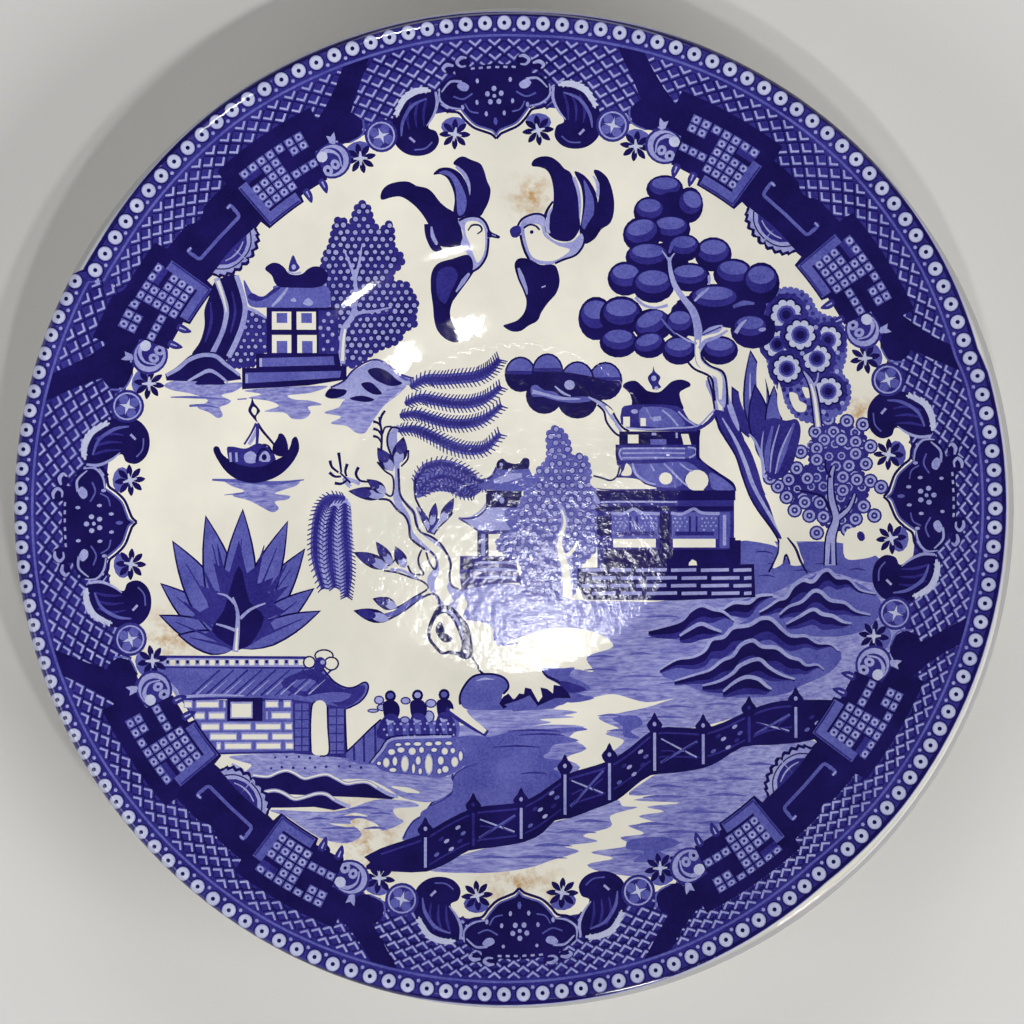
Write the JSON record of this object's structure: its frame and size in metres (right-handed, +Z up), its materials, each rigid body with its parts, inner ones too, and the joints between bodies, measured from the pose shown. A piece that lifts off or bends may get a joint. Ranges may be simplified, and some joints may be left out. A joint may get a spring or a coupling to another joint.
{
  "type": "china plate",
  "caption": "Small round china plate of saucer form: sloping wall, rolled lip, sunk well for a cup and a foot ring, with blue underglaze print.",
  "frame": {"origin": "centre of the foot ring's resting edge, on the surface that the plate stands on", "axes": "+Z up, along the axis that the plate is turned about; +Y towards the top of the printed scene"},
  "size_m": [0.15, 0.15, 0.0206],
  "materials": {
    "bare_china": "matte",
    "white_glaze": "gloss",
    "cobalt_print": "gloss"
  },
  "bodies": {
    "root": {"china_body": "bare_china", "outer_glaze": "white_glaze", "base_glaze": "white_glaze"}
  },
  "joints": []
}
